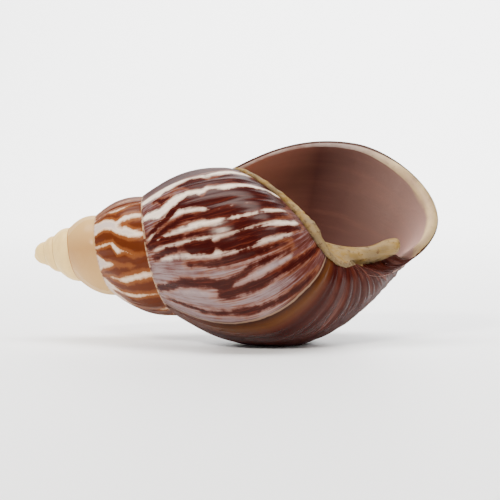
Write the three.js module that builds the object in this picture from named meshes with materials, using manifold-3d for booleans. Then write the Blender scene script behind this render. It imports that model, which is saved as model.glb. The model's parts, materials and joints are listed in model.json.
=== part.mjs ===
// Shell of a large land snail, one solid: a thin wall coiled round a twisted columella,
// hollow from the aperture up into the spire, lying on the body whorl as it does on a table.
//
// The wall is swept by a growth line that turns round the shell's axis and grows by fixed ratios.
// Age counts whorls: 0 at the lip, negative towards the apex.
// Place runs along a growth line: 0 at the suture, 1 where the next whorl is attached,
// 2 at the base-most point and 3 at the edge of the columella.

import * as THREE from 'three';
import { mergeVertices } from 'three/addons/utils/BufferGeometryUtils.js';
import Module from 'manifold-3d';

// Growth of the coil
const LENGTH_RATIO = 1.707; // growth along the axis in one whorl
const RADIUS_RATIO = 1.487; // growth away from the axis in one whorl
const OLDEST_AGE = -5.5; // where the coil starts, under the blunt apex
const SUTURE_LAG = 0.03; // how far before a full turn the next whorl is attached, whorls
const APEX_ALONG = 0.6; // place of the apex on the axis, mm

// Growth line at the lip, mm: along the axis from its pole, out from the axis, ahead in growth
const SUTURE = { along: 49.8, out: 20.3 };
const SHOULDER = { angle: 31, reach: 8.3, ahead: -0.257 }; // angle in degrees from the axis
const ATTACHED = { angle: -6.8, ahead: -0.274, reachBack: 15.9, reachOn: 9.35 };
const BASE = { along: 104.7, out: 8.24, ahead: -8.46, reachBack: 9.95, reachOn: 6.9, slant: 0.206 };
const NOTCH = { along: 93.5, out: -0.84, ahead: -4.57 };
const NOTCH_HANDLE = { along: 2.9, out: -4.4, ahead: -2.2 };

// Columella: a cord that winds round the axis, cut off short of the base
const CORD = { centre: 2.4, radius: 2.07, phase: -100 }; // mm at the notch, degrees
const CORD_STRAIGHT = { from: -0.12, share: 0.66 }; // where the cord runs in to the axis
const TIP_ALONG = 94; // mm
const TIP_LENGTH = 1.6; // mm
const FLARE = 4.6; // how quickly the cord widens into the walls
const FLARE_LEAD = 1.7;
const MARGIN_OPENS = { from: -0.55, to: -0.135 }; // ages over which the notch opens

// Wall
const WALL_AT_LIP = 1.25; // mm
const WALL_RATIO = 2.2; // growth of the wall in one whorl
const THINNEST_WALL = 0.12; // mm, in the oldest whorls
const BASE_THICKENING = 1.6; // share added towards the base
const WEDGE = 0.115; // place taken up by the wall where it meets the whorl before
const HOLLOW_AGE = -3.85; // the cavity ends here, near the apex

// Callus: a raised cord on the whorl before, from the lip's upper end down to the columella
const CALLUS = [
  { age: -0.968, place: 1.07, radius: 0.35 },
  { age: -0.92, place: 1.17, radius: 0.5 },
  { age: -0.86, place: 1.33, radius: 0.6 },
  { age: -0.83, place: 1.52, radius: 0.7 },
  { age: -0.79, place: 1.75, radius: 0.85 },
  { age: -0.73, place: 1.92, radius: 1.1 },
  { age: -0.66, place: 1.97, radius: 1.35 },
  { age: -0.58, place: 1.98, radius: 1.5 },
  { age: -0.5, place: 2.03, radius: 1.5 },
];

// How it lies, degrees and mm
const ROLL = -18.55;
const PITCH = 1.7;
const REST_DEPTH = 0.65; // how deep the flat under the body whorl is worn
const WALL_OVER_FLAT = 0.8;
const GROUND = { width: 300, depth: 20 }; // block that wears the flat

// Steps
const TURN_STEPS = 46;
const SUTURE_STEPS = [8, 5, 4, 4]; // from suture to suture, on the last whorl and those before it
const BODY_STEPS = 10;
const NOTCH_STEPS = 4;
const RIM_STEPS = 2;
const PILLAR_STEPS = 3;
const APEX_RINGS = 3;
const TIP_RINGS = 2;
const FINE_CAVITY_AGE = -0.25; // deeper in, the cavity has every other point
const CALLUS_STEPS = 18;
const CALLUS_SIDES = 6;
const CORD_SPACING = 3; // mm

const ATTACH = 1 - SUTURE_LAG; // whorls between a point of the suture and the whorl under it
const AGE_STEP = ATTACH / TURN_STEPS;

const radians = THREE.MathUtils.degToRad;
const degrees = THREE.MathUtils.radToDeg;

function smooth(x) {
  return THREE.MathUtils.smoothstep(x, 0, 1);
}

function evenly(from, to, steps) {
  return Array.from({ length: steps }, (_, k) => from + ((to - from) * (k + 1)) / steps);
}

function middleOf(list) {
  return list.reduce((sum, p) => sum.add(p), new THREE.Vector3()).divideScalar(list.length);
}

// Growth line point in the growth plane's own directions: along, out, ahead
function growthLine(age, place) {
  const long = LENGTH_RATIO ** age;
  const wide = RADIUS_RATIO ** age;
  const scaled = (along, out, ahead) => new THREE.Vector3(long * along, wide * out, wide * ahead);
  const attachedLong = LENGTH_RATIO ** (age + ATTACH);
  const attachedWide = RADIUS_RATIO ** (age + ATTACH) * SUTURE.out;
  const lag = -2 * Math.PI * SUTURE_LAG;

  const suture = scaled(SUTURE.along, SUTURE.out, 0);
  const attached = new THREE.Vector3(
    attachedLong * SUTURE.along,
    attachedWide * Math.cos(lag),
    attachedWide * Math.sin(lag),
  );
  const base = scaled(BASE.along, BASE.out, BASE.ahead);
  const notch = scaled(NOTCH.along, NOTCH.out, NOTCH.ahead);

  const shoulderAngle = radians(SHOULDER.angle);
  const shoulder = scaled(
    SHOULDER.reach * Math.cos(shoulderAngle),
    SHOULDER.reach * Math.sin(shoulderAngle),
    SHOULDER.reach * SHOULDER.ahead,
  );
  const attachedAngle = radians(ATTACHED.angle);
  const onward = scaled(Math.cos(attachedAngle), Math.sin(attachedAngle), ATTACHED.ahead);
  const inward = scaled(0, -1, BASE.slant);

  let points;
  if (place <= 1) {
    points = [
      suture,
      suture.clone().add(shoulder),
      attached.clone().addScaledVector(onward, -ATTACHED.reachBack),
      attached,
    ];
  } else if (place <= 2) {
    points = [
      attached,
      attached.clone().addScaledVector(onward, ATTACHED.reachOn),
      base.clone().addScaledVector(inward, -BASE.reachBack),
      base,
    ];
  } else {
    const handle = scaled(NOTCH_HANDLE.along, NOTCH_HANDLE.out, NOTCH_HANDLE.ahead);
    points = [base, base.clone().addScaledVector(inward, BASE.reachOn), notch.clone().add(handle), notch];
  }
  const piece = Math.min(Math.max(Math.ceil(place), 1), 3);
  return new THREE.CubicBezierCurve3(...points).getPoint(place - piece + 1);
}

// Point of the outside: x along the shell's axis, the growth plane turned by the age
function outside(age, place) {
  const line = growthLine(age, place);
  const turn = 2 * Math.PI * age;
  const front = line.y * Math.sin(turn) + line.z * Math.cos(turn);
  const up = line.y * Math.cos(turn) - line.z * Math.sin(turn);
  return new THREE.Vector3(line.x, -front, up);
}

function outward(age, place) {
  const step = 1e-4;
  const low = Math.max(place - step, 0);
  const high = Math.min(place + step, 3);
  const ahead = outside(age + step, place).sub(outside(age - step, place));
  const across = outside(age, high).sub(outside(age, low));
  return ahead.cross(across).normalize();
}

// Place of the columella's edge: at the base in old growth, at the notch near the lip
function edgePlace(age) {
  const { from, to } = MARGIN_OPENS;
  return 2 + smooth((age - from) / (to - from));
}

// Place on the growth line for a share of it, where 3 means the columella's edge
function placeOf(age, share) {
  return share > 2 ? 2 + (share - 2) * (edgePlace(age) - 2) : share;
}

function wall(age, share) {
  const thickness = Math.max(WALL_AT_LIP * WALL_RATIO ** age, THINNEST_WALL);
  const thickened = smooth((share - 0.6) / 1.2) * (1 - smooth(share - 2));
  return thickness * (1 + BASE_THICKENING * thickened);
}

function inside(age, share) {
  const place = placeOf(age, share);
  return outside(age, place).addScaledVector(outward(age, place), -wall(age, share));
}

function edge(age) {
  return outside(age, edgePlace(age));
}

function angleOf(point) {
  return degrees(Math.atan2(-point.y, point.z));
}

function nearestAngle(angle, reference) {
  return reference + THREE.MathUtils.euclideanModulo(angle - reference + 180, 360) - 180;
}

// Surface of the columella's cord, at a distance along the axis and an angle round the cord
function cordSurface(along, angle) {
  const age = Math.log(along / NOTCH.along) / Math.log(LENGTH_RATIO);
  const size = RADIUS_RATIO ** Math.min(age, 0);
  const turn = radians(CORD.phase + 360 * age);
  const straight = smooth((age - CORD_STRAIGHT.from) / -CORD_STRAIGHT.from);
  const centre = CORD.centre * size * (1 - CORD_STRAIGHT.share * straight);
  const radius = CORD.radius * size;
  const side = radians(angle);
  return new THREE.Vector3(
    along,
    -(centre * Math.sin(turn) + radius * Math.sin(side)),
    centre * Math.cos(turn) + radius * Math.cos(side),
  );
}

// Point between the edge of the whorl before (share 0) and the given end (share 1),
// on the cord in the middle and flaring into both ends
function pillar(age, end, endAngle, share) {
  const start = edge(age - ATTACH);
  const reference = 360 * age - 80;
  const startAngle = nearestAngle(angleOf(start), reference);
  const lastAngle = endAngle ?? nearestAngle(angleOf(end), reference);
  const along = THREE.MathUtils.lerp(start.x, end.x, share ** FLARE_LEAD);
  const angle = THREE.MathUtils.lerp(startAngle, lastAngle, smooth(share));
  const startFlare = start.clone().sub(cordSurface(start.x, startAngle));
  const endFlare = end.clone().sub(cordSurface(end.x, lastAngle));
  return cordSurface(along, angle)
    .addScaledVector(startFlare, (1 - share) ** FLARE)
    .addScaledVector(endFlare, share ** FLARE);
}

// Closed surface under construction
class Skin {
  points = [];

  triangles = [];

  addPoint(point) {
    this.points.push(point);
    return this.points.length - 1;
  }

  addTriangle(a, b, c) {
    if (a !== b && b !== c && c !== a) {
      this.triangles.push(a, b, c);
    }
  }

  distance(a, b) {
    return this.points[a].distanceTo(this.points[b]);
  }

  // Fills the strip between two rows of points that need not be equally many
  fillBetween(first, second) {
    let i = 0;
    let k = 0;
    while (i < first.length - 1 || k < second.length - 1) {
      const firstDone = i === first.length - 1;
      const secondDone = k === second.length - 1;
      const stepFirst = !firstDone && (secondDone
        || this.distance(first[i + 1], second[k]) <= this.distance(first[i], second[k + 1]));
      if (stepFirst) {
        this.addTriangle(first[i], first[i + 1], second[k]);
        i += 1;
      } else {
        this.addTriangle(first[i], second[k + 1], second[k]);
        k += 1;
      }
    }
  }

  fillRound(first, second) {
    this.fillBetween([...first, first[0]], [...second, second[0]]);
  }

  // Closes a loop with rings that bulge towards a tip
  closeLoop(loop, tip, rings) {
    const start = loop.map((id) => this.points[id]);
    const middle = middleOf(start);
    const rise = tip.clone().sub(middle);
    let ring = loop;
    for (let k = 1; k < rings; k += 1) {
      const bend = (k / rings) * (Math.PI / 2);
      const next = start.map((p) => this.addPoint(
        middle.clone()
          .addScaledVector(p.clone().sub(middle), Math.cos(bend))
          .addScaledVector(rise, Math.sin(bend)),
      ));
      this.fillRound(ring, next);
      ring = next;
    }
    const top = this.addPoint(tip);
    ring.forEach((id, k) => this.addTriangle(id, ring[(k + 1) % ring.length], top));
  }

  toGeometry() {
    return new THREE.BufferGeometry().setFromPoints(this.points).setIndex(this.triangles);
  }
}

// Shares of the growth line that carry points, the wedge of the wall among them
const lastShares = [0, ...evenly(0, 1, SUTURE_STEPS[0])];
const parietalShares = [...evenly(1 + WEDGE, 2, BODY_STEPS), ...evenly(2, 3, NOTCH_STEPS)];
const allShares = [...lastShares, ...evenly(1, 1 + WEDGE, RIM_STEPS), ...parietalShares];
const seamPlace = lastShares.length - 1;
const wedgeEnd = seamPlace + RIM_STEPS;

function outsideShares(step) {
  const whorl = Math.floor((step - 1) / TURN_STEPS);
  return whorl < 1 ? allShares : [0, ...evenly(0, 1, SUTURE_STEPS[Math.min(whorl, SUTURE_STEPS.length - 1)])];
}

const skin = new Skin();
const cavityPoints = new Set();

// Outside: full growth lines on the last whorl, only suture to suture on the spire,
// where each whorl ends on the points of the next one's suture
const oldestStep = Math.round(-OLDEST_AGE / AGE_STEP);
const columns = [];
for (let step = 0; step <= oldestStep; step += 1) {
  const age = -step * AGE_STEP;
  columns.push(outsideShares(step).map((share) => (
    step >= TURN_STEPS && share === 1
      ? columns[step - TURN_STEPS][0]
      : skin.addPoint(outside(age, placeOf(age, share)))
  )));
}
for (let step = 0; step < oldestStep; step += 1) {
  const count = step < TURN_STEPS ? allShares.length : seamPlace + 1;
  skin.fillBetween(columns[step].slice(0, count), columns[step + 1].slice(0, count));
}

// Apex: a blunt cap over the first whorl
const firstSuture = columns.slice(oldestStep - TURN_STEPS).map((column) => column[0]);
const firstLine = columns[oldestStep].slice(1, -1);
skin.closeLoop([...firstSuture, ...firstLine], new THREE.Vector3(APEX_ALONG, 0, 0), APEX_RINGS);

// Cavity: closed loops of three arcs, on the outer wall, the columella and the whorl before
function cavityLoop(step, coarse) {
  const age = -step * AGE_STEP;
  const every = coarse ? 2 : 1;
  const pick = (list) => list.filter((_, k) => (list.length - 1 - k) % every === 0);
  const parietal = step === 0
    ? columns[TURN_STEPS].slice(wedgeEnd)
    : pick([1 + WEDGE, ...parietalShares]).map(
      (share) => skin.addPoint(outside(age - ATTACH, placeOf(age - ATTACH, share))),
    );
  const corner = parietal[0];
  const end = inside(age, 3);
  const last = skin.addPoint(end);
  const gap = skin.points[corner].clone().sub(inside(age, 0));
  const outer = pick(allShares.slice(1, -1)).map((share) => {
    const blend = Math.max(1 - share / 0.6, 0) ** 2;
    return skin.addPoint(inside(age, share).addScaledVector(gap, blend));
  });
  const middle = evenly(0, 1, PILLAR_STEPS).slice(0, -1).reverse();
  const inner = middle.map((share) => skin.addPoint(pillar(age, end, null, share)));
  const arcs = [
    [corner, ...outer, last],
    [last, ...inner, parietal.at(-1)],
    [...parietal].reverse(),
  ];
  arcs.flat().forEach((id) => cavityPoints.add(id));
  return arcs;
}

const hollowStep = Math.round(-HOLLOW_AGE / AGE_STEP);
const fineStep = Math.round(-FINE_CAVITY_AGE / AGE_STEP);
let arcs = cavityLoop(0, false);
const mouth = arcs;
for (let step = 1; step <= hollowStep; step += step < fineStep ? 1 : 2) {
  const next = cavityLoop(step, step >= fineStep);
  arcs.forEach((arc, k) => skin.fillBetween(next[k], arc));
  arcs = next;
}
const deepLoop = arcs.flatMap((arc) => arc.slice(0, -1)).reverse();
skin.closeLoop(deepLoop, middleOf(deepLoop.map((id) => skin.points[id])), 1);

// Lip: rounded over from the outside to the cavity; its ends lie on the whorl before
// and on the columella
const lip = columns[0];
const lipInside = mouth[0];
const notchEnd = lip.at(-1);
const insideEnd = lipInside.at(-1);
const seam = [notchEnd];
for (let k = 1; k < RIM_STEPS; k += 1) {
  seam.push(skin.addPoint(skin.points[notchEnd].clone().lerp(skin.points[insideEnd], k / RIM_STEPS)));
}
seam.push(insideEnd);

function rimRow(k) {
  if (k === 0) {
    return [lip[0], ...columns[TURN_STEPS].slice(seamPlace + 1, wedgeEnd + 1)];
  }
  if (k === lip.length - 1) {
    return seam;
  }
  const share = allShares[k];
  const ahead = outside(1e-3, share).sub(outside(-1e-3, share)).normalize();
  const from = skin.points[lip[k]];
  const to = skin.points[lipInside[k]];
  const middle = from.clone().lerp(to, 0.5);
  const half = from.clone().sub(middle);
  const row = [lip[k]];
  for (let r = 1; r < RIM_STEPS; r += 1) {
    const bend = (Math.PI * r) / RIM_STEPS;
    row.push(skin.addPoint(
      middle.clone()
        .addScaledVector(half, Math.cos(bend))
        .addScaledVector(ahead, half.length() * Math.sin(bend)),
    ));
  }
  row.push(lipInside[k]);
  return row;
}

let rim = rimRow(0);
for (let k = 1; k < lip.length; k += 1) {
  const next = rimRow(k);
  skin.fillBetween(rim, next);
  rim = next;
}

// Bare part of the columella, from the edge of the last whorl to the cut-off tip
const tipRing = [];
for (let step = 0; step < TURN_STEPS; step += 1) {
  tipRing.push(skin.addPoint(cordSurface(TIP_ALONG, CORD.phase + (360 * step) / TURN_STEPS)));
}
const tail = [notchEnd];
const tailSteps = Math.ceil(skin.distance(notchEnd, tipRing[0]) / CORD_SPACING);
for (let k = 1; k < tailSteps; k += 1) {
  tail.push(skin.addPoint(skin.points[notchEnd].clone().lerp(skin.points[tipRing[0]], k / tailSteps)));
}
tail.push(tipRing[0]);

let cordRow = [...[...mouth[1]].reverse(), ...[...seam].reverse().slice(1), ...tail.slice(1)];
for (let step = 1; step < TURN_STEPS; step += 1) {
  const age = step * AGE_STEP;
  const start = columns[TURN_STEPS - step].at(-1);
  const end = skin.points[tipRing[step]];
  const angle = CORD.phase + (360 * step) / TURN_STEPS;
  const steps = Math.max(Math.round(skin.distance(start, tipRing[step]) / CORD_SPACING), 1);
  const row = [start];
  for (let k = 1; k < steps; k += 1) {
    row.push(skin.addPoint(pillar(age, end, angle, k / steps)));
  }
  row.push(tipRing[step]);
  skin.fillBetween(row, cordRow);
  cordRow = row;
}
skin.fillBetween(tail, cordRow);
skin.closeLoop(tipRing, new THREE.Vector3(TIP_ALONG + TIP_LENGTH, 0, 0), TIP_RINGS);

// Callus: rings round a path on the surface
function callusSkin() {
  const track = new THREE.CatmullRomCurve3(
    CALLUS.map(({ age, place, radius }) => new THREE.Vector3(age, place, radius)),
  );
  const cord = new Skin();
  const onPath = (u) => {
    const { x: age, y: place } = track.getPoint(u);
    return outside(age, place);
  };
  const rings = Array.from({ length: CALLUS_STEPS + 1 }, (_, k) => {
    const u = k / CALLUS_STEPS;
    const { x: age, y: place, z: radius } = track.getPoint(u);
    const up = outward(age, place);
    const ahead = onPath(Math.min(u + 0.01, 1)).sub(onPath(Math.max(u - 0.01, 0)));
    const side = up.clone().cross(ahead).normalize();
    return Array.from({ length: CALLUS_SIDES }, (__, n) => {
      const angle = (2 * Math.PI * n) / CALLUS_SIDES;
      return cord.addPoint(
        outside(age, place)
          .addScaledVector(side, radius * Math.cos(angle))
          .addScaledVector(up, radius * Math.sin(angle)),
      );
    });
  });
  for (let k = 0; k < CALLUS_STEPS; k += 1) {
    cord.fillRound(rings[k], rings[k + 1]);
  }
  const endAt = (ring) => middleOf(ring.map((id) => cord.points[id]));
  cord.closeLoop([...rings[0]].reverse(), endAt(rings[0]), 1);
  cord.closeLoop(rings[CALLUS_STEPS], endAt(rings[CALLUS_STEPS]), 1);
  return cord;
}

const wasm = await Module();
wasm.setup();

function toSolid(geometry) {
  return new wasm.Manifold(new wasm.Mesh({
    numProp: 3,
    vertProperties: new Float32Array(geometry.attributes.position.array),
    triVerts: new Uint32Array(geometry.index.array),
  }));
}

// Lay the shell down; the cavity keeps clear of the flat that it rests on
const lay = new THREE.Matrix4()
  .makeRotationY(radians(-PITCH))
  .multiply(new THREE.Matrix4().makeRotationX(radians(ROLL)));
skin.points.forEach((point) => point.applyMatrix4(lay));
const floor = Math.min(...skin.points.map((point) => point.z)) + REST_DEPTH;
cavityPoints.forEach((id) => {
  const point = skin.points[id];
  point.z = Math.max(point.z, floor + WALL_OVER_FLAT);
});

const ground = new THREE.BoxGeometry(GROUND.width, GROUND.width, GROUND.depth);
ground.deleteAttribute('normal');
ground.deleteAttribute('uv');
ground.translate(0, 0, floor - GROUND.depth / 2);

const solid = toSolid(skin.toGeometry())
  .add(toSolid(callusSkin().toGeometry().applyMatrix4(lay)))
  .subtract(toSolid(mergeVertices(ground)));
const { vertProperties, triVerts } = solid.getMesh();

const geometry = new THREE.BufferGeometry();
geometry.setAttribute('position', new THREE.BufferAttribute(vertProperties, 3));
geometry.setIndex(new THREE.BufferAttribute(triVerts, 1));
geometry.computeBoundingBox();
const centre = geometry.boundingBox.getCenter(new THREE.Vector3());
geometry.translate(-centre.x, -centre.y, -floor);
geometry.computeVertexNormals();

const material = new THREE.MeshStandardMaterial({ color: 0xa2806a, roughness: 0.35, metalness: 0 });
const shell = new THREE.Mesh(geometry, material);
shell.name = 'shell';

const part = new THREE.Group();
part.add(shell);

export default part;
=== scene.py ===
# Shell of a large land snail: the grown surface with its relief, its colours, and a plain studio.

import json
import math

import bpy
import numpy as np
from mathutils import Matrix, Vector

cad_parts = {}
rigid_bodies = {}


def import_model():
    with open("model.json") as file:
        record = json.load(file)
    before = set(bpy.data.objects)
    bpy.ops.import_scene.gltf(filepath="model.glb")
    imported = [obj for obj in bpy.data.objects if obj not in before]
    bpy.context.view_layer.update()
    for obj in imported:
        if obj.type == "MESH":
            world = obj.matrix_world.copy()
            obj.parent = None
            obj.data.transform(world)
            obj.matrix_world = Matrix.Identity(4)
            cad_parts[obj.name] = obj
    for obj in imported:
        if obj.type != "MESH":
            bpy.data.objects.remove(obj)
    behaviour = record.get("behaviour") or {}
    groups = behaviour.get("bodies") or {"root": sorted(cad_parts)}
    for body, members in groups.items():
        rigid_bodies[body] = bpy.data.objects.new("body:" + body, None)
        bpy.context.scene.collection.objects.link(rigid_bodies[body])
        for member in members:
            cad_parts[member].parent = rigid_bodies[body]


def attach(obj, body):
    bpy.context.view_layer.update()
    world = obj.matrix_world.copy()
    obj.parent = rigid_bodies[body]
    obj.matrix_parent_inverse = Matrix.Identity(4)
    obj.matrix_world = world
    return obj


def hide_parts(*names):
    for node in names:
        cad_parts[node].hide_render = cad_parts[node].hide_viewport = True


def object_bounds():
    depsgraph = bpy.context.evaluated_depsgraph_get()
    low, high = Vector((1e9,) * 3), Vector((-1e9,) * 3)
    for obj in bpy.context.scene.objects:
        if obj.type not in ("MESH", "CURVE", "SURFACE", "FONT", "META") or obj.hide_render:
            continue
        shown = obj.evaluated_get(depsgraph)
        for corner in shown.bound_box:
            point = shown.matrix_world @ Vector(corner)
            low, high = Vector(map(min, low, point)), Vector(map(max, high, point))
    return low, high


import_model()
CAD_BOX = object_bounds()

MM = 0.001

# Growth of the coil: ages count whorls, 0 at the lip and negative towards the apex
LENGTH_RATIO = 1.707
RADIUS_RATIO = 1.487
OLDEST_AGE = -5.5
SUTURE_LAG = 0.03
APEX_ALONG = 0.6

# Growth line at the lip, mm: along the axis, out from it, ahead in growth
SUTURE = (49.8, 20.3)
SHOULDER_ANGLE, SHOULDER_REACH, SHOULDER_AHEAD = 31, 8.3, -0.257
ATTACHED_ANGLE, ATTACHED_AHEAD, ATTACHED_BACK, ATTACHED_ON = -6.8, -0.274, 15.9, 9.35
BASE, BASE_BACK, BASE_ON, BASE_SLANT = (104.7, 8.24, -8.46), 9.95, 6.9, 0.206
NOTCH, NOTCH_HANDLE = (93.5, -0.84, -4.57), (2.9, -4.4, -2.2)

# Columella
CORD_CENTRE, CORD_RADIUS, CORD_PHASE = 2.4, 2.07, -100
CORD_STRAIGHT_FROM, CORD_STRAIGHT_SHARE = -0.12, 0.66
TIP_ALONG, TIP_LENGTH = 94, 1.6
FLARE, FLARE_LEAD, PILLAR_PHASE = 4.6, 1.7, -80
MARGIN_OPENS = (-0.55, -0.135)

# Wall, mm; it thickens from one place and thins again from another, past the base
WALL_AT_LIP, WALL_RATIO, THINNEST_WALL, BASE_THICKENING = 1.25, 2.2, 0.12, 1.6
THICKENS_FROM, THICKENS_OVER, THICKENS_UNTIL = 0.6, 1.2, 2
# Share of the growth line, past the seam, on which the lip rests
WEDGE = 0.115
HOLLOW_AGE = -4.1
# Share by which the cavity's wall, moved to meet the whorl it rests on, is back at its own place
GAP_CLOSES = 0.6

# How it lies
ROLL, PITCH = -18.55, 1.7
REST_DEPTH = 0.65

# Callus cord as in the solid, up to the columella: age, place, radius in mm
CALLUS = [
    (-0.968, 1.07, 0.35),
    (-0.92, 1.17, 0.5),
    (-0.86, 1.33, 0.6),
    (-0.83, 1.52, 0.7),
    (-0.79, 1.75, 0.85),
    (-0.73, 1.92, 1.1),
    (-0.66, 1.97, 1.35),
]
# From there the cord draws on, thinner, along the edge of the columella
MARGIN_CORD = [
    (-0.58, 1.98, 0.95),
    (-0.54, 2, 0.7),
    (-0.5, 2.05, 0.55),
    (-0.46, 2.12, 0.5),
    (-0.4, 2.25, 0.5),
    (-0.34, 2.45, 0.5),
    (-0.27, 2.7, 0.5),
    (-0.2, 2.97, 0.5),
    (-0.14, 3, 0.4),
]
# Ages between which the cord runs straight across a fold in the whorl
BRIDGE = (-0.47, -0.19)
# Height of the cord's centre over the whorl, in its own radius: it rises at first and drops later
CALLUS_LIFT, CALLUS_RISES_OVER = 0.7, 0.12
CALLUS_DROP, CALLUS_DROPS_FROM, CALLUS_DROPS_OVER = 0.6, -0.54, 0.1
# Share of its length over which each end tapers, and its unevenness in its own radius
CALLUS_TAPER, GRAIN = 0.02, 0.32

# Mesh density; the deep part of the cavity, out of sight, is coarser
TURN_STEPS = 300
BODY_ROWS, WEDGE_ROWS, FRONT_ROWS, NOTCH_ROWS = 38, 4, 34, 16
SPIRE_ROWS = [32, 22, 14, 10, 8]
RIM_STEPS, PILLAR_STEPS, APEX_RINGS, TIP_RINGS = 6, 18, 6, 6
FINE_CAVITY_AGE = -0.4
DEEP_STRIDE, DEEP_SKIP = 6, 3
CORD_SPACING = 0.6
CALLUS_STEPS, CALLUS_SIDES = 240, 20

# A whorl is covered by the next one after this share of a turn
ATTACH = 1 - SUTURE_LAG
AGE_STEP = ATTACH / TURN_STEPS
NUDGE, TINY = 1e-4, 1e-3


def smooth(x):
    """0 below 0, 1 above 1, and even between them."""
    x = np.clip(x, 0, 1)
    return x * x * (3 - 2 * x)


def bezier(a, b, c, d, u):
    u = u[..., None]
    v = 1 - u
    return v**3 * a + 3 * v * v * u * b + 3 * v * u * u * c + u**3 * d


def growth_line(age, place):
    """Points along, out from and ahead round the axis, for places 0 to 3 on a growth line."""
    age, place = np.broadcast_arrays(age, place)
    long, wide = LENGTH_RATIO**age, RADIUS_RATIO**age

    def scaled(along, out, ahead):
        return np.stack([long * along, wide * out, wide * ahead], -1)

    attached_long = LENGTH_RATIO ** (age + ATTACH)
    attached_wide = RADIUS_RATIO ** (age + ATTACH) * SUTURE[1]
    lag = -2 * math.pi * SUTURE_LAG
    suture = scaled(*SUTURE, 0)
    attached = np.stack(
        [attached_long * SUTURE[0], attached_wide * math.cos(lag), attached_wide * math.sin(lag)], -1
    )
    base, notch = scaled(*BASE), scaled(*NOTCH)
    a, b = math.radians(SHOULDER_ANGLE), math.radians(ATTACHED_ANGLE)
    shoulder = SHOULDER_REACH * scaled(math.cos(a), math.sin(a), SHOULDER_AHEAD)
    onward = scaled(math.cos(b), math.sin(b), ATTACHED_AHEAD)
    inward = scaled(0, -1, BASE_SLANT)
    before, after = attached - onward * ATTACHED_BACK, attached + onward * ATTACHED_ON
    upper = bezier(suture, suture + shoulder, before, attached, np.clip(place, 0, 1))
    lower = bezier(attached, after, base - inward * BASE_BACK, base, np.clip(place - 1, 0, 1))
    handle = notch + scaled(*NOTCH_HANDLE)
    last = bezier(base, base + inward * BASE_ON, handle, notch, np.clip(place - 2, 0, 1))
    place = place[..., None]
    return np.where(place <= 1, upper, np.where(place <= 2, lower, last))


def outside(age, place):
    """Point of the outer surface, in mm, with the axis along x."""
    along, out, ahead = np.moveaxis(growth_line(age, place), -1, 0)
    turn = 2 * math.pi * age
    c, s = np.cos(turn), np.sin(turn)
    return np.stack([along, -(out * s + ahead * c), out * c - ahead * s], -1)


def unit(v):
    return v / np.maximum(np.linalg.norm(v, axis=-1, keepdims=True), 1e-12)


def outward(age, place):
    """Direction that the outer surface faces."""
    age, place = np.broadcast_arrays(age, place)
    ahead = outside(age + NUDGE, place) - outside(age - NUDGE, place)
    across = outside(age, np.clip(place + NUDGE, 0, 3)) - outside(age, np.clip(place - NUDGE, 0, 3))
    return unit(np.cross(ahead, across))


def edge_place(age):
    """Place at which a growth line ends, on the margin of the columella."""
    start, end = MARGIN_OPENS
    return 2 + smooth((age - start) / (end - start))


def place_of(age, share):
    """Place for a share of the growth line, 0 to 3, that ends on the margin."""
    return np.where(share > 2, 2 + (share - 2) * (edge_place(age) - 2), share)


def wall(age, share):
    thickness = np.maximum(WALL_AT_LIP * WALL_RATIO**age, THINNEST_WALL)
    thickened = smooth((share - THICKENS_FROM) / THICKENS_OVER) * (1 - smooth(share - THICKENS_UNTIL))
    return thickness * (1 + BASE_THICKENING * thickened)


def inside(age, share):
    place = place_of(age, share)
    return outside(age, place) - outward(age, place) * wall(age, share)[..., None]


def edge(age):
    return outside(age, edge_place(age))


def angle_of(point):
    return math.degrees(math.atan2(-point[1], point[2]))


def nearest_angle(angle, reference):
    return reference + (angle - reference + 180) % 360 - 180


def cord_surface(along, angle):
    """Point on the twisted cord that forms the core of the columella."""
    along, angle = np.broadcast_arrays(along, angle)
    age = np.log(along / NOTCH[0]) / math.log(LENGTH_RATIO)
    size = RADIUS_RATIO ** np.minimum(age, 0)
    turn = np.radians(CORD_PHASE + 360 * age)
    straight = smooth((age - CORD_STRAIGHT_FROM) / -CORD_STRAIGHT_FROM)
    centre = CORD_CENTRE * size * (1 - CORD_STRAIGHT_SHARE * straight)
    radius = CORD_RADIUS * size
    side = np.radians(angle)
    y = -(centre * np.sin(turn) + radius * np.sin(side))
    z = centre * np.cos(turn) + radius * np.cos(side)
    return np.stack([along, y, z], -1)


def pillar(age, end, end_angle, share):
    """Line along the cord, from the older margin to a point, flared at both ends."""
    start = edge(age - ATTACH)
    reference = 360 * age + PILLAR_PHASE
    start_angle = nearest_angle(angle_of(start), reference)
    last_angle = nearest_angle(angle_of(end), reference) if end_angle is None else end_angle
    along = start[0] + (end[0] - start[0]) * share**FLARE_LEAD
    angle = start_angle + (last_angle - start_angle) * smooth(share)
    start_flare = start - cord_surface(start[0], start_angle)
    end_flare = end - cord_surface(end[0], last_angle)
    share = share[..., None]
    return cord_surface(along, angle) + start_flare * (1 - share) ** FLARE + end_flare * share**FLARE


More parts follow.
